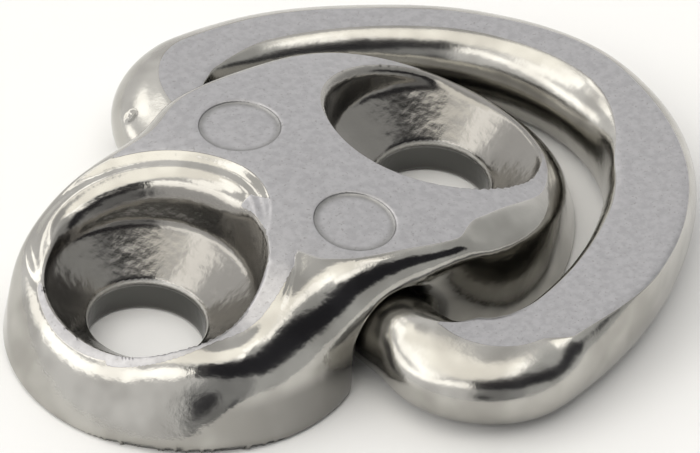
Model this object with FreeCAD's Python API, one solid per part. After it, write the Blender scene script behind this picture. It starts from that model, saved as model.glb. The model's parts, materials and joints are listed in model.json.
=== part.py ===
import FreeCAD, Part
import math
import os

# Folding pad eye for a boat's deck: a forged body that two countersunk screws hold down,
# and a forged ring that swings over on its own straight bar to lie flat to either side.
# Millimetres. The origin is on the deck, midway between the two screw holes.
# +X runs along the row of screws, to the side on which the ring lies. +Z is up.

V = FreeCAD.Vector
UP = V(0, 0, 1)

# Screws
screw_spacing = 26.8
screw_hole_radius = 4.25
screw_hole_length = 2.6
screw_head_radius = 8.25
countersink_half_angle = 45.0

# Body outline where it stands on the deck, and at the height of its middle.
# Each is given by its reach from the centre at 0, 45, 60 and 90 degrees to the row of screws.
# On the deck the reach at 45 and 60 degrees is what the ring's leg leaves free, less this room,
# and at 90 degrees the wall over the tunnel's mouth hangs out over it.
base_reach_0 = 23.95
room_in_leg_45 = 0.93274
room_in_leg_60 = 2.27152
mouth_overhang = 3.2
body_height = 10.3
top_reach_0 = 21.4
top_reach_45 = 15.7
top_reach_60 = 13.15
top_reach_90 = 13.3
crown_end_height = 3.1
crown_radius_across = 90.0
outline_points = 48
top_edge_radius = 1.8
base_edge_height = 0.4
base_edge_inset = 0.3

# Round stamps on the top, left bare
stamp_offset = 6.5
stamp_radius = 3.0
stamp_depth = 0.3

# Ring, along its centre line and across it
bar_radius = 3.1
tip_clearance = 1.2
ring_half_width = 19.4
ring_slide = -1.0
corner_radius = 5.35
leg_radius = 30.8
crown_bend_radius = 15.8
swell_length = 2.0
corner_half_side = 3.5
corner_squareness = 2.1
crown_half_side = 3.35
crown_squareness = 2.7
swell_stations = 5
leg_stations = 9
section_points = 24

# Tunnel that the bar turns in
tunnel_clearance = 0.35
tunnel_mouth_share = 0.4

# Thrust ball and its spring, in a pocket over the bar
ball_share = 0.3
pocket_roof_share = 0.22
pocket_lip_share = 0.84
pocket_clearance = 0.1
seat_gap = 0.03
spring_wire_radius = 0.12
spring_turns = 2.5
spring_coil_share = 0.7

# How far a cutting shape reaches past what it cuts, and how near two places count as one
cut_past = 1.0
nearness = 0.01

BASE_REACH_90 = top_reach_90 - mouth_overhang
# The folded ring goes round the body's tip
RING_REACH = base_reach_0 + tip_clearance + crown_half_side
BAR_HEIGHT = bar_radius
TUNNEL_RADIUS = bar_radius + tunnel_clearance
# The mouth's rounding, the ball and the pocket's roof each take a share of the wall over the tunnel
TUNNEL_WALL = body_height - BAR_HEIGHT - TUNNEL_RADIUS
MOUTH_RADIUS = tunnel_mouth_share * TUNNEL_WALL
BALL_RADIUS = ball_share * TUNNEL_WALL
BALL_HEIGHT = BAR_HEIGHT + bar_radius + seat_gap + BALL_RADIUS
POCKET_RADIUS = BALL_RADIUS + pocket_clearance
POCKET_TOP = body_height - pocket_roof_share * TUNNEL_WALL
POCKET_LIP_RADIUS = pocket_lip_share * BALL_RADIUS
POCKET_FLOOR = BALL_HEIGHT - math.sqrt(BALL_RADIUS ** 2 - POCKET_LIP_RADIUS ** 2) - seat_gap


def turned(profile, centre, axis, angle=360.0):
    """Solid from a closed list of points turned about an axis."""
    face = Part.Face(Part.makePolygon(profile + profile[:1]))
    return face.revolve(centre, axis, angle)


def outline(reaches, growth, z):
    """Smooth closed outline from its reach at 0, 45, 60 and 90 degrees."""
    reach_0, reach_45, reach_60, reach_90 = [reach + growth for reach in reaches]
    mean = (reach_0 + reach_90) / 4 + reach_45 / 2
    fourth = (reach_0 + reach_90) / 2 - mean
    sixth = (reach_60 - mean + fourth / 2 + (reach_0 - reach_90) / 4) * 2 / 3
    second = (reach_0 - reach_90) / 2 - sixth
    points = []
    for i in range(outline_points):
        turn = 2 * math.pi * i / outline_points
        reach = mean + second * math.cos(2 * turn) + fourth * math.cos(4 * turn) + sixth * math.cos(6 * turn)
        points.append(V(reach * math.cos(turn), reach * math.sin(turn), z))
    shares = [i / outline_points for i in range(outline_points + 1)]
    curve = Part.BSplineCurve()
    curve.interpolate(Points=points, PeriodicFlag=True, Parameters=shares)
    return Part.Wire(curve.toShape())


def crown_solid():
    """Barrel whose skin is the body's top: highest over the bar, falling to both ends."""
    end_drop = body_height - crown_end_height
    radius_along = (base_reach_0 ** 2 + end_drop ** 2) / (2 * end_drop)
    reach = base_reach_0 + cut_past
    drop = radius_along - math.sqrt(radius_along ** 2 - reach ** 2)
    axis_z = body_height - crown_radius_across
    low = V(-reach, 0, body_height - drop)
    high = V(reach, 0, body_height - drop)
    top = Part.Arc(low, V(0, 0, body_height), high).toShape()
    foot = Part.makePolygon([high, V(reach, 0, axis_z), V(-reach, 0, axis_z), low])
    face = Part.Face(Part.Wire([top] + foot.Edges))
    face.rotate(V(0, 0, axis_z), V(1, 0, 0), -90)
    return face.revolve(V(0, 0, axis_z), V(1, 0, 0), 180)


def screw_cut(x):
    """Screw hole, countersink and the straight wall round the sunk head."""
    growth = screw_head_radius - screw_hole_radius
    seat_top = screw_hole_length + growth / math.tan(math.radians(countersink_half_angle))
    below = -cut_past
    above = body_height + cut_past
    profile = [
        V(x, 0, below), V(x + screw_hole_radius, 0, below), V(x + screw_hole_radius, 0, screw_hole_length),
        V(x + screw_head_radius, 0, seat_top), V(x + screw_head_radius, 0, above), V(x, 0, above),
    ]
    return turned(profile, V(x, 0, 0), UP)


def tunnel_cut():
    """Inverted U along Y: round over the bar, straight down to the deck."""
    reach = BASE_REACH_90 + top_reach_90
    roof = Part.makeCylinder(TUNNEL_RADIUS, 2 * reach, V(0, -reach, BAR_HEIGHT), V(0, 1, 0))
    corner = V(-TUNNEL_RADIUS, -reach, -cut_past)
    legs = Part.makeBox(2 * TUNNEL_RADIUS, 2 * reach, BAR_HEIGHT + cut_past, corner)
    return roof.fuse(legs).removeSplitter()


def stamp_cut(side):
    """Shallow round stamp, square to the crowned top."""
    tilt = math.asin(side * stamp_offset / crown_radius_across)
    normal = V(0, math.sin(tilt), math.cos(tilt))
    surface = V(0, 0, body_height - crown_radius_across) + normal * crown_radius_across
    floor = surface - normal * stamp_depth
    return Part.makeCylinder(stamp_radius, stamp_depth + cut_past, floor, normal)


def pocket_cut():
    """Blind hole for the ball and spring, with a narrow lip that holds the ball in."""
    hole = Part.makeCylinder(POCKET_RADIUS, POCKET_TOP - POCKET_FLOOR, V(0, 0, POCKET_FLOOR))
    lip = Part.makeCylinder(POCKET_LIP_RADIUS, POCKET_FLOOR - BAR_HEIGHT, V(0, 0, BAR_HEIGHT))
    return hole.fuse(lip)


def edges_at(shape, test):
    """The shape's edges whose middle point passes the test."""
    found = []
    for edge in shape.Edges:
        middle = edge.valueAt((edge.FirstParameter + edge.LastParameter) / 2)
        if test(middle):
            found.append(edge)
    return found


def leg_reach(angle):
    """Reach of the leg's inner side from the centre, at an angle to the row of screws."""
    leg = ring_path()[1]
    ray = V(math.cos(math.radians(angle)), math.sin(math.radians(angle)), 0)
    along = ray.dot(leg)
    return along + math.sqrt(along ** 2 - leg.dot(leg) + (leg_radius - corner_half_side) ** 2)


def body_walls():
    """Drafted side walls, with the small bevel round the foot."""
    base_reach_45 = leg_reach(45) - room_in_leg_45
    base_reach_60 = leg_reach(60) - room_in_leg_60
    base_reaches = (base_reach_0, base_reach_45, base_reach_60, BASE_REACH_90)
    top_reaches = (top_reach_0, top_reach_45, top_reach_60, top_reach_90)
    foot = outline(base_reaches, -base_edge_inset, 0)
    base = outline(base_reaches, 0, base_edge_height)
    top = outline(top_reaches, 0, body_height)
    return Part.makeLoft([foot, base], True, True).fuse(Part.makeLoft([base, top], True, True))


def make_body():
    body = body_walls().common(crown_solid()).Solids[0]
    crown = max(body.Faces, key=lambda face: face.CenterOfMass.z)
    body = body.makeFillet(top_edge_radius, crown.Edges).cut(tunnel_cut()).Solids[0]
    body = body.makeFillet(MOUTH_RADIUS, edges_at(body, is_on_tunnel_mouth))
    for side in (-1, 1):
        body = body.cut(screw_cut(side * screw_spacing / 2))
        body = body.cut(stamp_cut(side))
    return body.cut(pocket_cut()).Solids[0]


def is_on_tunnel_mouth(point):
    """True for a point on the edge between the tunnel and the body's side."""
    if abs(point.y) < BASE_REACH_90 / 2 or point.z < nearness:
        return False
    if point.z > BAR_HEIGHT:
        return abs(math.hypot(point.x, point.z - BAR_HEIGHT) - TUNNEL_RADIUS) < nearness
    return abs(abs(point.x) - TUNNEL_RADIUS) < nearness


def ring_path():
    """Arcs of half the ring's centre line, from the bar's end to the crown's middle."""
    corner = V(corner_radius, ring_half_width - corner_radius, 0)
    crown = V(RING_REACH - crown_bend_radius, 0, 0)
    apart = crown - corner
    to_corner = leg_radius - corner_radius
    to_crown = leg_radius - crown_bend_radius
    along = (apart.Length ** 2 + to_corner ** 2 - to_crown ** 2) / (2 * apart.Length)
    aside = math.sqrt(to_corner ** 2 - along ** 2)
    unit = apart / apart.Length
    leg = corner + unit * along + V(unit.y, -unit.x, 0) * aside
    leg_start = math.atan2(corner.y - leg.y, corner.x - leg.x)
    leg_stop = math.atan2(crown.y - leg.y, crown.x - leg.x)
    return corner, leg, crown, leg_start, leg_stop


def section(centre, bend_radius, turn, half_side, squareness):
    """Section of the ring, square to its centre line at one angle of a bend. Squareness 2 is round."""
    outward = V(math.cos(turn), math.sin(turn), 0)
    power = 2 / squareness
    points = []
    for i in range(section_points):
        angle = 2 * math.pi * i / section_points
        across = math.copysign(abs(math.cos(angle)) ** power, math.cos(angle)) * half_side
        height = math.copysign(abs(math.sin(angle)) ** power, math.sin(angle)) * bar_radius
        points.append(centre + outward * (bend_radius + across) + UP * height)
    curve = Part.BSplineCurve()
    curve.interpolate(points, PeriodicFlag=True)
    return Part.Wire(curve.toShape())


def smooth(share):
    return share * share * (3 - 2 * share)


def make_ring():
    """Round bar that swells into round corners; the legs grow squarer up to the crown."""
    corner, leg, crown, leg_start, leg_stop = ring_path()
    bar_end = corner.y - swell_length
    bar_section = section(V(corner_radius, bar_end, 0), corner_radius, math.pi, bar_radius, 2)
    bar = Part.Face(bar_section).extrude(V(0, -2 * bar_end, 0))

    swell_sections = []
    for i in range(swell_stations):
        share = i / (swell_stations - 1)
        half_side = bar_radius + (corner_half_side - bar_radius) * smooth(share)
        squareness = 2 + (corner_squareness - 2) * smooth(share)
        place = V(corner_radius, bar_end + swell_length * share, 0)
        swell_sections.append(section(place, corner_radius, math.pi, half_side, squareness))
    swell = Part.makeLoft(swell_sections, True, False)

    corner_face = Part.Face(section(corner, corner_radius, math.pi, corner_half_side, corner_squareness))
    bend = corner_face.revolve(corner, UP, math.degrees(leg_start - math.pi))

    leg_sections = []
    for i in range(leg_stations):
        share = i / (leg_stations - 1)
        turn = leg_start + (leg_stop - leg_start) * share
        half_side = corner_half_side + (crown_half_side - corner_half_side) * smooth(share)
        squareness = corner_squareness + (crown_squareness - corner_squareness) * smooth(share)
        leg_sections.append(section(leg, leg_radius, turn, half_side, squareness))
    limb = Part.makeLoft(leg_sections, True, False)

    crown_face = Part.Face(section(crown, crown_bend_radius, leg_stop, crown_half_side, crown_squareness))
    pieces = [crown_face.revolve(crown, UP, math.degrees(-2 * leg_stop))]
    for piece in (swell, bend, limb):
        pieces.append(piece)
        pieces.append(piece.mirror(V(0, 0, 0), V(0, 1, 0)))
    ring = bar.fuse(pieces).removeSplitter().Solids[0]
    ring.translate(V(0, ring_slide, BAR_HEIGHT))
    return ring


def make_ball():
    return Part.makeSphere(BALL_RADIUS, V(0, 0, BALL_HEIGHT))


def make_spring():
    """Coil that sits on the ball's shoulder and reaches the end of the pocket."""
    coil_radius = spring_coil_share * BALL_RADIUS
    shoulder = math.sqrt((BALL_RADIUS + spring_wire_radius) ** 2 - coil_radius ** 2)
    low = BALL_HEIGHT + shoulder + seat_gap
    high = POCKET_TOP - spring_wire_radius - seat_gap
    helix = Part.makeHelix((high - low) / spring_turns, high - low, coil_radius)
    helix.translate(V(0, 0, low))
    wire = Part.Wire(Part.makeCircle(spring_wire_radius, V(coil_radius, 0, low), V(0, 1, 0)))
    return Part.Wire(helix).makePipeShell([wire], True, True)


def main():
    os.makedirs("parts", exist_ok=True)
    pieces = {
        "body": make_body(),
        "ring": make_ring(),
        "thrust_ball": make_ball(),
        "thrust_spring": make_spring(),
    }
    for name, shape in pieces.items():
        print(name, shape.isValid(), len(shape.Solids), round(shape.Volume, 2), shape.BoundBox)
        shape.exportStep("parts/" + name + ".step")


main()
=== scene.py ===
import json
import math

import bmesh
import bpy
import numpy as np
from mathutils import Matrix, Vector


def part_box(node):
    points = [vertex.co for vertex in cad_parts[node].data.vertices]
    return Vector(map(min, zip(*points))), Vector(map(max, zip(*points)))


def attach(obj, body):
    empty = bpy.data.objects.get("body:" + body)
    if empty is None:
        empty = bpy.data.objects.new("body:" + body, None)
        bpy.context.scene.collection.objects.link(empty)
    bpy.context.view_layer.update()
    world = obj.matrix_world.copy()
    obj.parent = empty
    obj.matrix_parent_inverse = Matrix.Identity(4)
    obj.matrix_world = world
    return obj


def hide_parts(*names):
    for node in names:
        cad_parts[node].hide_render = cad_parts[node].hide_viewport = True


# Folding pad eye: the forged body and ring are built again here with the soft, polished edges of the
# real forgings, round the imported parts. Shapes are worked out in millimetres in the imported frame:
# origin on the deck, +X along the screws to the side the ring lies on, +Z up.

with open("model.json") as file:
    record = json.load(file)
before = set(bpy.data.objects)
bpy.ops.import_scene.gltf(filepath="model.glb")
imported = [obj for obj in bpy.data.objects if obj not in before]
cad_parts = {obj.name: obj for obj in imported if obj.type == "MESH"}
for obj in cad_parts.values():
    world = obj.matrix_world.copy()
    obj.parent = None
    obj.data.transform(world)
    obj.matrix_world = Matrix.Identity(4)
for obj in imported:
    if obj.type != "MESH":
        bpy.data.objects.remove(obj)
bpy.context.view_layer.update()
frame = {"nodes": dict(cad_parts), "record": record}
MM = 0.001


def box_mm(node):
    low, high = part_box(node)
    return np.array(low) / MM, np.array(high) / MM


def mount(name):
    return next(m for m in frame["record"]["mounts"] if m["name"] == name)


# Body
body_high = box_mm("body")[1]
body_height = body_high[2]
foot_height = 0.4
foot_radius = 0.45
left_base_reaches = (23.75, 18.06, 14.72, 10.49)
right_base_reaches = (body_high[0], 18.5, 15.45, 10.1)
left_base_turn = math.radians(4.2)
left_top_reaches = (22.3, 15.4, 12.9, 13.3)
right_top_reaches = (19.8, 16.3, 14.2, 13.3)
side_lean = math.radians(17)
crown_end_height = 3.1
crown_radius_across = 90.0
left_edge_radius = 2.0
near_edge_radius = 2.4
waist_edge_radius = 3.8
far_edge_radius = 1.8
right_edge_radius = 1.5
ground_off = 0.08
# Along X: where the left lobe's form passes into the right one's, and where its sizes change
lobes_meet = (-5, 3)
base_turn_span = (0, 6)
waist_span = (-16, -8)
right_edge_span = (-2, 6)
# Away from the row of screws: where an edge takes its near or far radius
side_edge_span = (2, 8)

# Screw holes
screw_x = mount("screws")["dims"]["spacing_x_mm"] / 2
hole_radius = mount("screws")["dims"]["hole_r_mm"]
hole_length = mount("screw_hole_left")["dims"]["length_mm"]
head_radius = 8.25
seat_slope = math.radians(50)
seat_top_radius = 7.67
wall_flare = 0.12
seat_blend = 0.5
left_rim_radius = 2.0
left_rim_turn = 52
left_rim_span = (0.42, 0.76)
right_rim_radius = 0.9
right_rim_turn = 80
right_rim_span = (0, 0.8)
sharp_rim_radius = 0.3
throat_radius = 0.3

# Polished step on the far side of the left recess, with a small bead along its foot
rim_land = 1.65
rim_step = 0.3
step_turn = 55
step_ends = (0, 0.5)
step_span = (0.2, 1)
step_foot = (0.7, 1.4)
land_taper = 2.2
land_taper_span = (0.1, 0.8)
bead_depth = 0.15
bead_place = 0.4
bead_width = 0.45

# Rounding of the left tip, and the long dip beside it on the near side
tip_land = 0.45
tip_turn = 195
tip_span = (0.2, 0.8)
tip_slope = 0.22
tip_curve = 0.12
dip_place = -11.8
dip_half_length = 3.6
dip_depth = 0.85
dip_span = (3.5, 8.5)

# Satin land left round the near side of the left recess
satin_turn = -75
satin_span = (0.1, 0.35)
satin_width = 0.7
satin_soft = 0.1
satin_wide = 1.75
satin_wide_turn = -43
satin_wide_span = (0.55, 0.95)

# Where the polished steel is tinted darker: in the seats and holes, partly for their duller steel and
# partly as painted shade, and on the near flank as painted shade. The rounded throats of the holes
# get a painted highlight.
seat_far_turn = 30
seat_far_span = (-0.2, 0.4)
seat_past_edge = 0.15
hole_past_edge = 0.1
# Band of the painted highlight on the holes' throats
throat_highlight_band = (0.1, 0.25)
# Span of the painted shade on the lower near flank
flank_away = (4, 8)
flank_rise = (3, 4.4)
flank_start = (-20, -9)
flank_end = (-2, 4)

# Tunnel and its pocket
bar_radius = 3.1
tunnel_radius = bar_radius + 0.35
mouth_radius = 1.8
mouth_crease = 0.15
ball_low, ball_high = box_mm("thrust_ball")
pocket_radius = (ball_high[0] - ball_low[0]) / 2 + 0.1
pocket_top = ball_high[2] + 1.0

# Polished hollow on the near side, between the left rim and the ground top
hollow_centre = (2.4, 3.4)
hollow_radius = 7.75
hollow_depth = 0.3
hollow_slope = math.radians(9)
hollow_foot = (0, 0.6)
hollow_start = (-11, -6)
hollow_end = (1, 3)

# Polished facet along the near edge of the right lobe
facet_lean = math.radians(26)
facet_width = 2.4
facet_start = (3.5, 8.5)
facet_end = (10, 20)
facet_edge_radius = 0.2

# Round stamps
stamp_offset = 6.5
stamp_radius = 3.0
stamp_depth = 0.22
stamp_wall = (-0.25, 0.15)

# Ring
ring_slide = -1.0
ring_half_width = 19.4
ring_reach = 28.5
corner_radius = 5.35
leg_radius = 30.8
crown_radius = 15.8
ring_half_side = 3.45
ring_ground_off = 0.22
ring_ground_span = (-0.5, 2.5)
near_ground_share = 0.6
under_flat = (1.2, 1.9)
under_flat_span = (3, 10)
swell_span = (-2, 1)
punch_place = (-1.9, 16.3, 5.1)

# Half width of the flat that is ground on the ring's top, towards the outside and the inside, on
# its far and near leg: the width it starts with, then each change with the lengths along the
# centre line, from the bar's end, between which it comes. Then what either leg lacks in width.
flat_birth = (-1.5, 0.8)
far_flat = (
    (-0.5, (1.7, 1, 9), (-0.6, 14, 25), (1.0, 30, 41)),
    (0.9, (2.1, -0.5, 3), (-1.65, 6, 15), (-0.35, 32, 41)),
)
near_flat = (
    (-0.85, (1.5, -1.5, 10.5), (1.25, 8.6, 10.8), (1.2, 10, 20), (-1.5, 22, 40)),
    (0.9, (2.1, -0.5, 4), (-0.55, 7, 12), (0.45, 25, 32), (-1.9, 30, 42)),
)
far_trim = (0, (0.45, 13, 24), (-0.45, 31, 40))
near_trim = (0, (-0.1, 0, 3), (0.1, 6, 9), (0.15, 8, 13), (-0.15, 28, 38))


def smoothstep(value, low, high):
    share = np.clip((value - low) / (high - low), 0, 1)
    return share * share * (3 - 2 * share)


def fade(value, low, high):
    """1 up to the low value, 0 from the high one."""
    return smoothstep(-value, -high, -low)


def mix(a, b, share):
    return a + (b - a) * share


def round_both(a, b, radius):
    """Depth of what lies inside both forms, with their common edge rounded."""
    outer = np.hypot(np.maximum(a + radius, 0), np.maximum(b + radius, 0))
    return np.minimum(-radius, np.maximum(a, b)) + outer


def blend_either(a, b, width):
    """Depth of what lies inside either form, with a soft fillet between them."""
    overlap = np.maximum(width - np.abs(a - b), 0) / width
    return np.minimum(a, b) - overlap ** 3 * width / 6


def outline_reach(turn, reaches):
    """Reach of a smooth outline that is given at 0, 45, 60 and 90 degrees."""
    reach_0, reach_45, reach_60, reach_90 = reaches
    mean = (reach_0 + reach_90) / 4 + reach_45 / 2
    fourth = (reach_0 + reach_90) / 2 - mean
    sixth = (reach_60 - mean + fourth / 2 + (reach_0 - reach_90) / 4) * 2 / 3
    second = (reach_0 - reach_90) / 2 - sixth
    return mean + second * np.cos(2 * turn) + fourth * np.cos(4 * turn) + sixth * np.cos(6 * turn)


def crown_height(x, y):
    """Height of the barrel-shaped top."""
    end_drop = body_height - crown_end_height
    radius_along = (body_high[0] ** 2 + end_drop ** 2) / (2 * end_drop)
    drop = radius_along - np.sqrt(radius_along ** 2 - x * x)
    return body_height - crown_radius_across + np.sqrt((crown_radius_across - drop) ** 2 - y * y)


def recess_wall(x, y, z, centre):
    """Depth of the metal round a screw hole, its countersink and the wall over it."""
    radius = np.hypot(x - centre, y)
    hole = hole_radius - radius
    over_hole = (z - hole_length) * math.tan(seat_slope)
    cone = (hole_radius + over_hole - radius) * math.cos(seat_slope)
    over_seat = z - hole_length - (seat_top_radius - hole_radius) / math.tan(seat_slope)
    wall = seat_top_radius + over_seat * wall_flare - radius
    seat = blend_either(cone, wall, seat_blend)
    return round_both(hole, seat, throat_radius)


def around_left_hole(x, y, turn):
    """1 on the side of the left hole that is turned so many degrees from +X, -1 on the other."""
    return np.cos(np.arctan2(y, x + screw_x) - math.radians(turn))


def left_rim(x, y):
    """Radius of the left rim's inner edge: wide on the far side, sharp on the near side."""
    far = smoothstep(around_left_hole(x, y, left_rim_turn), *left_rim_span)
    return mix(sharp_rim_radius, left_rim_radius, far)


def right_rim(x, y):
    """Radius of the right rim's inner edge."""
    far = np.cos(np.arctan2(y, x - screw_x) - math.radians(right_rim_turn))
    return mix(sharp_rim_radius, right_rim_radius, smoothstep(far, *right_rim_span))


def polished_step(x, y, out):
    """Depth of the step that runs round the far side of the left recess."""
    there = around_left_hole(x, y, step_turn)
    edge = out + land_taper * fade(there, *land_taper_span)
    bead = bead_depth * np.exp(-((edge - bead_place) / bead_width) ** 2)
    step = rim_step * fade(edge, *step_span) + bead + ground_off * fade(edge, *step_foot)
    return smoothstep(there, *step_ends) * step


def worn_hollow(x, y, out):
    """Depth of the shallow hollow between the left recess and the near stamp."""
    off = np.hypot(x - hollow_centre[0], y + hollow_centre[1]) - hollow_radius
    fall = np.maximum(off, 0) * math.tan(hollow_slope) / hollow_depth
    hollow = hollow_depth * (1 - np.exp(-fall)) * smoothstep(out, *hollow_foot)
    hollow = hollow * smoothstep(x, *hollow_start) * fade(x, *hollow_end)
    return np.where(y < 0, hollow, 0)


def worn_away(x, y):
    """How far the polished forging lies below the ground top on its left side."""
    out = np.hypot(x + screw_x, y) - head_radius - rim_land
    past_land = np.maximum(out + rim_land + tip_land, 0)
    at_tip = smoothstep(around_left_hole(x, y, tip_turn), *tip_span)
    tip = at_tip * (tip_slope * past_land + tip_curve * past_land ** 2)
    dip = dip_depth * np.exp(-((x - dip_place) / dip_half_length) ** 2) * smoothstep(-y, *dip_span)
    return polished_step(x, y, out) + worn_hollow(x, y, out) + tip + dip


def ground_top(x, y, z):
    """Depth below the ground top, with its two stamps."""
    top = z - crown_height(x, y)
    for stamp in (-stamp_offset, stamp_offset):
        past_edge = np.hypot(x, y - stamp) - stamp_radius
        top = top + stamp_depth * fade(past_edge, *stamp_wall)
    return top


def forging(x, y, z):
    """Depth below the polished skin that the forging had before its top was ground."""
    turn = np.arctan2(y, x)
    rise = np.clip((z - foot_height) / (body_height - foot_height), 0, 1.1)
    right = smoothstep(x, *lobes_meet)
    left_turn = turn - left_base_turn * smoothstep(-x, *base_turn_span)
    left_base = outline_reach(left_turn, left_base_reaches)
    base = mix(left_base, outline_reach(turn, right_base_reaches), right)
    top = mix(outline_reach(turn, left_top_reaches), outline_reach(turn, right_top_reaches), right)
    away = np.hypot(x, y) - mix(base, top, rise)
    side = away * math.cos(side_lean)
    crown = z - crown_height(x, y) - ground_off + worn_away(x, y)
    near_edge = mix(near_edge_radius, waist_edge_radius, smoothstep(x, *waist_span))
    edge = mix(left_edge_radius, near_edge, smoothstep(-y, *side_edge_span))
    edge = mix(edge, far_edge_radius, smoothstep(y, *side_edge_span))
    form = round_both(side, crown, mix(edge, right_edge_radius, smoothstep(x, *right_edge_span)))
    width = facet_width * smoothstep(x, *facet_start) * fade(x, *facet_end)
    facet = crown * math.cos(facet_lean) + (away + width) * math.sin(facet_lean)
    return np.where((y < 0) & (width > 0), round_both(form, facet, facet_edge_radius), form)


def body_parts(p):
    """Depths below the forging's polished skin and below its ground top."""
    x, y, z = p.T
    form = forging(x, y, z)
    form = round_both(form, recess_wall(x, y, z, -screw_x), left_rim(x, y))
    form = round_both(form, recess_wall(x, y, z, screw_x), right_rim(x, y))
    tunnel = tunnel_radius - np.hypot(x, np.maximum(z - bar_radius, 0))
    form = np.maximum(form, round_both(form - mouth_crease, tunnel, mouth_radius))
    pocket = np.maximum(np.hypot(x, y) - pocket_radius, z - pocket_top)
    form = np.maximum(form, -np.maximum(pocket, bar_radius - z))
    return round_both(form, -z, foot_radius), ground_top(x, y, z)


def body_form(p):
    """Depth below the finished body's skin: negative inside."""
    return np.maximum(*body_parts(p))


# Longest way that a point is moved at a time
longest_move = 0.3


def gradient(form, p, step=0.01):
    slopes = []
    for axis in range(3):
        shift = np.zeros(3)
        shift[axis] = step
        slopes.append((form(p + shift) - form(p - shift)) / (2 * step))
    return np.stack(slopes, 1)


def settle(form, p, rounds):
    """Moves points onto the skin of a form."""
    for _ in range(rounds):
        slope = gradient(form, p)
        steep = np.maximum((slope ** 2).sum(1), 0.05)
        step = (form(p) / steep)[:, None] * slope
        length = np.maximum(np.linalg.norm(step, axis=1, keepdims=True), 1e-9)
        p = p - step * np.minimum(1, longest_move / length)
    return p


def piece_from(mesh, name, body):
    piece = bpy.data.objects.new(name, mesh)
    bpy.context.scene.collection.objects.link(piece)
    mesh.shade_smooth()
    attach(piece, body)
    return piece


def merged_copy(node):
    mesh = frame["nodes"][node].data.copy()
    work = bmesh.new()
    work.from_mesh(mesh)
    bmesh.ops.remove_doubles(work, verts=work.verts, dist=1e-6)
    work.to_mesh(mesh)
    work.free()
    return mesh


def fine_skin(node, cell):
    """A closed, even mesh over a CAD node."""
    rough = bpy.data.objects.new("rough", merged_copy(node))
    bpy.context.scene.collection.objects.link(rough)
    remesh = rough.modifiers.new("even", "REMESH")
    remesh.mode = "VOXEL"
    remesh.voxel_size = cell * MM
    seen = rough.evaluated_get(bpy.context.evaluated_depsgraph_get())
    mesh = bpy.data.meshes.new_from_object(seen)
    bpy.data.objects.remove(rough)
    return mesh


def points_of(mesh):
    flat = np.zeros(len(mesh.vertices) * 3)
    mesh.vertices.foreach_get("co", flat)
    return flat.reshape(-1, 3) / MM


def place_points(mesh, p):
    mesh.vertices.foreach_set("co", (p * MM).ravel())
    mesh.update()


def relax(mesh, form, p, rounds):
    """Evens out the mesh along the skin."""
    edges = np.zeros(len(mesh.edges) * 2, int)
    mesh.edges.foreach_get("vertices", edges)
    a, b = edges.reshape(-1, 2).T
    count = np.bincount(a, minlength=len(p)) + np.bincount(b, minlength=len(p))
    for _ in range(rounds):
        total = np.zeros_like(p)
        np.add.at(total, a, p[b])
        np.add.at(total, b, p[a])
        p = settle(form, mix(p, total / count[:, None], 0.5), 2)
    return p


def ground_gap(p):
    """Depth between the polished skin and the ground top: zero on the line where they meet."""
    polished, ground = body_parts(p)
    return ground - polished


def draw_to_crease(p, reach):
    """Moves the points next to the ground top's edge onto it."""
    for _ in range(2):
        slope = gradient(ground_gap, p)
        steep = np.maximum((slope ** 2).sum(1), 1e-6)
        gap = ground_gap(p)
        step = (gap / steep)[:, None] * slope
        near = np.abs(gap) / np.sqrt(steep) < reach
        p = settle(body_form, p - step * near[:, None], 2)
    return p


def set_share(mesh, name, values):
    layer = mesh.attributes.new(name, "FLOAT", "POINT")
    layer.data.foreach_set("value", np.asarray(values, np.float32))


def satin_land(x, y, past_edge):
    """Share of the satin land round the near side of the left recess."""
    wide = smoothstep(around_left_hole(x, y, satin_wide_turn), *satin_wide_span)
    width = mix(satin_width, satin_wide, wide)
    land = smoothstep(past_edge, -satin_soft, 0) * fade(past_edge - width, -satin_soft, satin_soft)
    return land * smoothstep(around_left_hole(x, y, satin_turn), *satin_span) * (x < 0)


def body_shares(p):
    """What the steel's material reads at each point of the body."""
    x, y, z = p.T
    polished, ground = body_parts(p)
    recess = np.hypot(np.abs(x) - screw_x, y)
    far = np.maximum(smoothstep(around_left_hole(x, y, seat_far_turn), *seat_far_span), x > 0)
    past_edge = recess - mix(seat_top_radius, head_radius + seat_past_edge, far)
    from_throat = np.hypot(recess - hole_radius, z - hole_length)
    # Painted shade low on the near flank
    near_flank_shade = smoothstep(-y, *flank_away) * fade(z, *flank_rise)
    land = satin_land(x, y, past_edge) * 0.5 - 0.25
    return {
        "ground": np.maximum(np.clip(ground - polished, -0.5, 0.5), land),
        # Seats and holes are tinted darker: partly duller steel, partly painted shade
        "seat": fade(past_edge, -seat_past_edge, seat_past_edge),
        "hole": fade(recess, hole_radius, hole_radius + hole_past_edge),
        # Where the holes' throats get a painted highlight
        "throat": fade(from_throat, *throat_highlight_band),
        "flank": near_flank_shade * smoothstep(x, *flank_start) * fade(x, *flank_end),
    }


def make_body():
    cell = 0.21
    mesh = fine_skin("body", cell)
    p = settle(body_form, points_of(mesh), 6)
    p = relax(mesh, body_form, p, 2)
    p = draw_to_crease(p, cell / 2)
    place_points(mesh, p)
    for name, values in body_shares(p).items():
        set_share(mesh, name, values)
    piece = piece_from(mesh, "forged_body", "body")
    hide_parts("body")
    return piece


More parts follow.
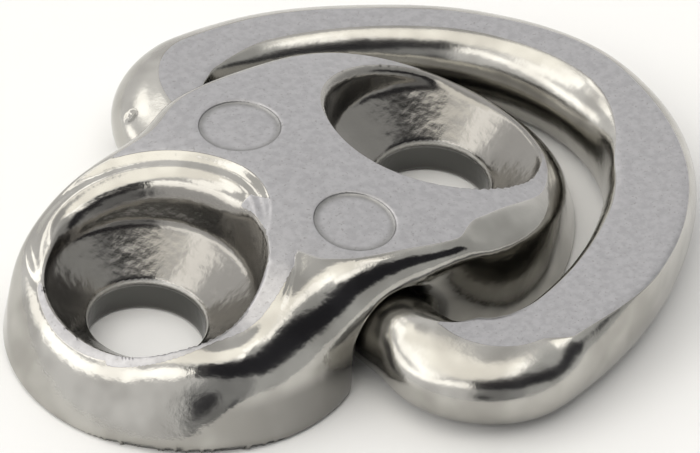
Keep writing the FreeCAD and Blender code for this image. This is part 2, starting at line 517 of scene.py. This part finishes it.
def ring_arcs():
    """Centre, radius, start and end angle of the arcs from the bar's end to the crown's middle."""
    corner = np.array([corner_radius, ring_half_width - corner_radius])
    crown = np.array([ring_reach - crown_radius, 0.0])
    apart = crown - corner
    distance = np.linalg.norm(apart)
    to_corner = leg_radius - corner_radius
    to_crown = leg_radius - crown_radius
    along = (distance ** 2 + to_corner ** 2 - to_crown ** 2) / (2 * distance)
    aside = math.sqrt(to_corner ** 2 - along ** 2)
    unit = apart / distance
    leg = corner + unit * along + np.array([unit[1], -unit[0]]) * aside
    leg_start = math.atan2(corner[1] - leg[1], corner[0] - leg[0])
    leg_end = math.atan2(crown[1] - leg[1], crown[0] - leg[0])
    return [
        (corner, corner_radius, math.pi, leg_start),
        (leg, leg_radius, leg_start, leg_end),
        (crown, crown_radius, leg_end, 0.0),
    ]


def ring_line(spacing):
    """Places, outward directions and lengths from the bar's middle to the crown's middle."""
    arcs = ring_arcs()
    bar_end = arcs[0][0][1]
    rows = [(np.array([0.0, y]), np.array([-1.0, 0.0]), y - bar_end)
            for y in np.linspace(0, bar_end, round(bar_end / spacing), endpoint=False)]
    done = 0.0
    for centre, radius, start, end in arcs:
        length = radius * (start - end)
        for share in np.linspace(0, 1, math.ceil(length / spacing), endpoint=False):
            turn = mix(start, end, share)
            outward = np.array([math.cos(turn), math.sin(turn)])
            rows.append((centre + radius * outward, outward, done + share * length))
        done += length
    rows.append((arcs[2][0] + [crown_radius, 0], np.array([1.0, 0.0]), done))
    return rows, done


def along_ring(length, start, *changes):
    """A size that changes by given amounts, each between two lengths along the ring."""
    return start + sum(amount * smoothstep(length, low, high) for amount, low, high in changes)


def flat_ends(length, side):
    """Where the ground flat ends on a ring's section: towards the outside, towards the inside."""
    born = smoothstep(length, *flat_birth)
    outer, inner = far_flat if side > 0 else near_flat
    return born * along_ring(length, *outer), born * along_ring(length, *inner)


def half_sides(length, side):
    """Half widths of a ring's section: towards the outside, towards the inside."""
    swell = smoothstep(length, *swell_span)
    trim = along_ring(length, *(far_trim if side > 0 else near_trim))
    return mix(bar_radius, ring_half_side - trim, swell), mix(bar_radius, ring_half_side, swell)


def flank(half_side, flat_end, spare, shares):
    """Curve from the middle of a section's side up to its flat's end: across, up."""
    height = bar_radius + spare
    last = math.asin(bar_radius / height)
    centre = (flat_end - half_side * math.cos(last)) / (1 - math.cos(last)) if spare else flat_end
    turn = shares * last
    return centre + (half_side - centre) * np.cos(turn), height * np.sin(turn)


def ring_section(length, side, fineness):
    """Points round the section: outward, up, and how far inside the ground flat each one lies."""
    outer, inner = flat_ends(length, side)
    outer_side, inner_side = half_sides(length, side)
    ground_off_here = ring_ground_off * smoothstep(length, *ring_ground_span)
    under = smoothstep(length, *under_flat_span)
    climb = np.linspace(0, 1, fineness + 1)
    level = np.linspace(0, 1, fineness // 2 + 1)[1:-1]
    flanks = (
        flank(outer_side, outer, ground_off_here, climb),
        flank(inner_side, inner, ground_off_here * (1 if side > 0 else near_ground_share), climb),
        flank(inner_side, under * under_flat[1], 0.0, climb),
        flank(outer_side, under * under_flat[0], 0.0, climb),
    )
    out, to_in, low_in, low_out = [np.stack(flank_points, 1) for flank_points in flanks]
    to_in[:, 0] *= -1
    low_in *= (-1, -1)
    low_out[:, 1] *= -1
    top = mix(out[-1], to_in[-1], level[:, None])
    foot = mix(low_in[-1], low_out[-1], level[:, None])
    points = np.concatenate([out, top, to_in[::-1], low_in[1:], foot, low_out[::-1][:-1]])
    width = out[-1, 0] - to_in[-1, 0]
    inside = np.full(len(points), -0.5)
    first, last = fineness, fineness + len(level) + 1
    inside[first:last + 1] = width / len(level)
    inside[first] = inside[last] = 0
    return points[:, 0], points[:, 1], inside


def make_ring():
    spacing = 0.35
    rows, total = ring_line(spacing)
    fineness = 16
    loops, shares = [], []
    for side in (1, -1):
        for place, outward, length in rows:
            across, up, inside = ring_section(length, side, fineness)
            loops.append(np.stack([
                place[0] + outward[0] * across,
                side * (place[1] + outward[1] * across),
                up,
            ], 1))
            shares.append(inside if length > 0 else np.full(len(inside), -0.5))
    count = len(rows)
    loops = loops[:count] + loops[count:][::-1][1:-1]
    shares = np.array(shares[:count] + shares[count:][::-1][1:-1])
    around = len(loops[0])
    sheet = bmesh.new()
    bmesh.ops.create_grid(sheet, x_segments=len(loops), y_segments=around, size=1)
    ground = sheet.verts.layers.float.new("ground")
    places = np.array(loops) + [0, ring_slide, bar_radius]
    for index, vert in enumerate(sheet.verts):
        row, column = index % (len(loops) + 1), index // (len(loops) + 1)
        vert.co = Vector(places[row % len(loops), column % around] * MM)
        vert[ground] = shares[row % len(loops), column % around]
    bmesh.ops.remove_doubles(sheet, verts=sheet.verts, dist=1e-7)
    bmesh.ops.recalc_face_normals(sheet, faces=sheet.faces)
    mesh = bpy.data.meshes.new("forged_ring")
    sheet.to_mesh(mesh)
    sheet.free()
    for name in ("seat", "hole", "throat", "flank"):
        set_share(mesh, name, np.zeros(len(mesh.vertices)))
    piece = piece_from(mesh, "forged_ring", "ring")
    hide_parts("ring")
    return piece


class Socket:
    """A shader value with ordinary arithmetic."""

    def __init__(self, nodes, output):
        self.nodes = nodes
        self.output = output

    def combine(self, operation, other, swap=False):
        values = (other, self) if swap else (self, other)
        return self.nodes.add("ShaderNodeMath", dict(enumerate(values)), operation=operation)

    def __add__(self, other):
        return self.combine("ADD", other)

    def __sub__(self, other):
        return self.combine("SUBTRACT", other)

    def __rsub__(self, other):
        return self.combine("SUBTRACT", other, True)

    def __mul__(self, other):
        return self.combine("MULTIPLY", other)

    __radd__ = __add__
    __rmul__ = __mul__

    def step(self, low, high):
        """0 below low, 1 above high, with a smooth rise between."""
        values = {"Value": self, "From Min": low, "From Max": high}
        return self.nodes.add("ShaderNodeMapRange", values, interpolation_type="SMOOTHSTEP")


class Nodes:
    """A node tree that is put together from values."""

    def __init__(self, tree):
        self.tree = tree

    def add(self, kind, values, output=0, **settings):
        node = self.tree.nodes.new(kind)
        for name, value in settings.items():
            setattr(node, name, value)
        for place, value in values.items():
            self.plug(node.inputs[place], value)
        return Socket(self, node.outputs[output])

    def plug(self, target, value):
        if isinstance(value, Socket):
            self.tree.links.new(value.output, target)
        else:
            target.default_value = value

    def tint(self, a, b, share):
        return self.add("ShaderNodeMix", {0: share, 6: a, 7: b}, 2, data_type="RGBA")


class Shader(Nodes):
    """A material made of one surface."""

    def __init__(self, name):
        self.material = bpy.data.materials.new(name)
        self.material.use_nodes = True
        super().__init__(self.material.node_tree)
        self.surface = self.tree.nodes["Principled BSDF"]
        self.position = self.add("ShaderNodeTexCoord", {}, "Object")

    def attribute(self, name):
        return self.add("ShaderNodeAttribute", {}, "Fac", attribute_name=name)

    def noise(self, per_mm, detail=2.0, rough=0.5):
        values = {"Vector": self.position, "Scale": per_mm / MM, "Detail": detail, "Roughness": rough}
        return self.add("ShaderNodeTexNoise", values, "Fac")

    def distance(self, place):
        """Distance from a place in millimetres."""
        point = tuple(v * MM for v in place)
        values = {0: self.position, 1: point}
        return self.add("ShaderNodeVectorMath", values, "Value", operation="DISTANCE") * (1 / MM)

    def bump(self, height, distance):
        values = {"Height": height, "Distance": distance * MM}
        self.set("Normal", self.add("ShaderNodeBump", values))

    def set(self, name, value):
        self.plug(self.surface.inputs[name], value)


# Colours of the steel
polished_tints = (0.37, 0.36, 0.335, 1), (0.49, 0.48, 0.45, 1)
satin_tints = (0.39, 0.385, 0.395, 1), (0.45, 0.445, 0.455, 1)
# Seats and holes: partly their duller steel, partly painted shade
seat_dull_and_shade_tint = (0.25, 0.24, 0.225, 1)
# Painted shade on the lower near flank
flank_shade_tint = (0.20, 0.195, 0.185, 1)
hole_dull_and_shade_tint = (0.10, 0.10, 0.095, 1)
# Painted highlight on the rounded throats of the holes
throat_highlight_tint = (0.85, 0.84, 0.81, 1)
pit_tint = (0.34, 0.335, 0.335, 1)
# Painted shade inside the stamps' edges
groove_shade_tint = (0.17, 0.17, 0.155, 1)


def forged_steel(name, marks, dull):
    """Polished forging with satin ground flats. The marks give a height and a share of painted shade.
    """
    shader = Shader(name)
    marked, groove_shade = marks(shader)
    ground = shader.attribute("ground").step(-0.02, 0.02)
    seat = shader.attribute("seat")
    hole = shader.attribute("hole")
    throat = shader.attribute("throat")
    cloud = shader.noise(0.25)
    mottle = shader.noise(1.6, detail=4.0, rough=0.6)
    dents = shader.noise(0.9, detail=1.0)
    peel = shader.noise(2.6)
    wave = shader.noise(0.3, detail=1.0)
    grain = shader.noise(9.0, rough=0.6)
    pits = shader.noise(4.5, detail=1.0).step(0.64, 0.72)
    polished = shader.tint(*polished_tints, cloud.step(0.35, 0.65))
    # Partly duller steel, partly painted shade in the seats and holes
    polished = shader.tint(polished, seat_dull_and_shade_tint, seat * 0.8)
    # Painted shade on the lower near flank
    polished = shader.tint(polished, flank_shade_tint, shader.attribute("flank") * 0.85)
    polished = shader.tint(polished, hole_dull_and_shade_tint, hole)
    # Painted highlight on the holes' throats
    polished = shader.tint(polished, throat_highlight_tint, throat)
    satin = shader.tint(*satin_tints, mottle.step(0.35, 0.65))
    satin = shader.tint(satin, pit_tint, pits)
    # Painted shade in the stamps' grooves
    satin = shader.tint(satin, groove_shade_tint, groove_shade)
    shader.set("Metallic", 1.0)
    shader.set("Base Color", shader.tint(polished, satin, ground))
    roughness = 0.09 + dull + 0.05 * cloud + ground * (0.27 - dull) + seat * 0.10 + throat * 0.4
    shader.set("Roughness", roughness)
    height = peel * (0.8 + seat * 0.8) + dents * (1.3 + seat * 3.5) + grain * (0.12 + ground * 0.5)
    height = height + wave * (1 - ground) * 7.0
    shader.bump(height - pits * ground * 0.5 + marked, 0.01)
    return shader.material


def stamp_edges(shader):
    """Fine crisp edge of the two round stamps, and the painted shade just inside it."""
    away = [shader.distance((0, side * stamp_offset, body_height)) for side in (-1, 1)]
    edge = sum(a.step(stamp_radius - 0.04, stamp_radius + 0.04) for a in away) * 6.0
    outside = sum(a.step(stamp_radius - 0.05, stamp_radius + 0.1) for a in away)
    # Darker band just inside each stamp's edge: painted shade
    groove_shade = sum(a.step(stamp_radius - 0.6, stamp_radius - 0.1) for a in away) - outside
    return edge, groove_shade * 0.5


def punch_dent(shader):
    """Small round dent beside the ring's far corner."""
    return shader.distance(punch_place).step(0.2, 0.75) * 25.0, 0.0


def plain(name, colour, roughness, metallic=0.0):
    shader = Shader(name)
    shader.set("Base Color", (*colour, 1))
    shader.set("Roughness", roughness)
    shader.set("Metallic", metallic)
    return shader.material


def finish_inner_parts():
    steel = plain("spring_steel", (0.55, 0.55, 0.56), 0.3, 1.0)
    for node, slot in (("thrust_ball", "ball_steel"), ("thrust_spring", "spring_steel")):
        piece = frame["nodes"][node]
        piece.data.materials.clear()
        piece.data.materials.append(steel)


# Camera, worked out from the photograph
view_turn = math.radians(43.65)
view_rise = math.radians(40.3)
view_roll = math.radians(5.56)
view_width = 50.59
view_distance = 1450.0
aim_right = 4.529
aim_up = 3.727


def set_camera():
    level = Vector((math.cos(view_turn), -math.sin(view_turn), 0))
    ahead = Vector((math.sin(view_turn), math.cos(view_turn), 0))
    forward = ahead * math.cos(view_rise) - Vector((0, 0, math.sin(view_rise)))
    upright = ahead * math.sin(view_rise) + Vector((0, 0, math.cos(view_rise)))
    right = level * math.cos(view_roll) + upright * math.sin(view_roll)
    up = upright * math.cos(view_roll) - level * math.sin(view_roll)
    camera = bpy.data.objects.new("camera", bpy.data.cameras.new("camera"))
    bpy.context.scene.collection.objects.link(camera)
    camera.data.lens = camera.data.sensor_width * view_distance / view_width
    camera.data.clip_end = 100
    place = (right * aim_right + up * aim_up - forward * view_distance) * MM
    camera.matrix_world = Matrix((
        (right.x, up.x, -forward.x, place.x),
        (right.y, up.y, -forward.y, place.y),
        (right.z, up.z, -forward.z, place.z),
        (0, 0, 0, 1),
    ))
    bpy.context.scene.camera = camera


def set_floor():
    sheet = bmesh.new()
    bmesh.ops.create_grid(sheet, x_segments=1, y_segments=1, size=1.5)
    mesh = bpy.data.meshes.new("floor")
    sheet.to_mesh(mesh)
    sheet.free()
    floor = bpy.data.objects.new("floor", mesh)
    bpy.context.scene.collection.objects.link(floor)
    mesh.materials.append(plain("floor_paper", (0.9, 0.9, 0.9), 0.9))


def toward(turn, rise):
    """Direction that lies so many degrees to the right of straight beyond the object, and so high."""
    heading, height = view_turn + math.radians(turn), math.radians(rise)
    level = math.cos(height)
    return math.sin(heading) * level, math.cos(heading) * level, math.sin(height)


# Soft round panels of the studio, as the polished steel mirrors them: turn to the right and rise,
# half width and softness in degrees, and colour. The later ones stand in front of the earlier ones.
studio_grey = (0.98, 0.97, 0.96, 1)
dark = (0.03, 0.03, 0.035, 1)
bright = (2.5, 2.45, 2.35, 1)
panels = (
    (95, 20, 45, 30, (0.62, 0.62, 0.61, 1)),
    (158, 17, 25, 10, (0.36, 0.36, 0.36, 1)),
    (174, 14, 7, 6, (0.06, 0.06, 0.065, 1)),
    (149, 1, 6, 6, (0.15, 0.15, 0.16, 1)),
    (-120, 84, 27, 8, (1.9, 1.84, 1.70, 1)),
    (15, 74, 15, 6, (0.72, 0.71, 0.70, 1)),
    (100, 24, 12, 5, dark),
    (114, 34, 13, 5, dark),
    (132, 43, 15, 5, dark),
    (155, 47, 13, 5, dark),
    (176, 48, 11, 5, dark),
    (-74, 54, 9, 4, bright),
    (-98, 50, 9, 4, bright),
    (-122, 47, 9, 4, bright),
    (-49, 35, 8, 4, bright),
    (-40, 51, 7, 4, bright),
    (104, 67, 5, 3, bright),
    (128, 63, 4, 3, bright),
)
# A strip light, seen as the bright line along the left rim
strip_start, strip_turn, strip_rise, strip_count = (-74, 15), -11, 3.6, 9
strip = tuple(
    (strip_start[0] + strip_turn * place, strip_start[1] + strip_rise * place, 7, 4, bright)
    for place in range(strip_count)
)


def set_light():
    world = bpy.data.worlds.new("studio")
    bpy.context.scene.world = world
    world.use_nodes = True
    room = Nodes(world.node_tree)
    looked_at = room.add("ShaderNodeTexCoord", {}, "Generated")
    colour = studio_grey
    for turn, rise, half_width, softness, brightness in panels + strip:
        values = {0: looked_at, 1: toward(turn, rise)}
        close = room.add("ShaderNodeVectorMath", values, "Value", operation="DOT_PRODUCT")
        rim = math.cos(math.radians(half_width + softness / 2))
        heart = math.cos(math.radians(half_width - softness / 2))
        colour = room.tint(colour, brightness, close.step(rim, heart))
    back = world.node_tree.nodes["Background"]
    room.plug(back.inputs["Color"], colour)
    bpy.context.scene.view_settings.view_transform = "Standard"


body_piece = make_body()
ring_piece = make_ring()
for piece, name, marks, dull in (
    (body_piece, "body_steel", stamp_edges, 0.0),
    (ring_piece, "ring_steel", punch_dent, 0.07),
):
    piece.data.materials.clear()
    piece.data.materials.append(forged_steel(name, marks, dull))
finish_inner_parts()
set_camera()
set_floor()
set_light()
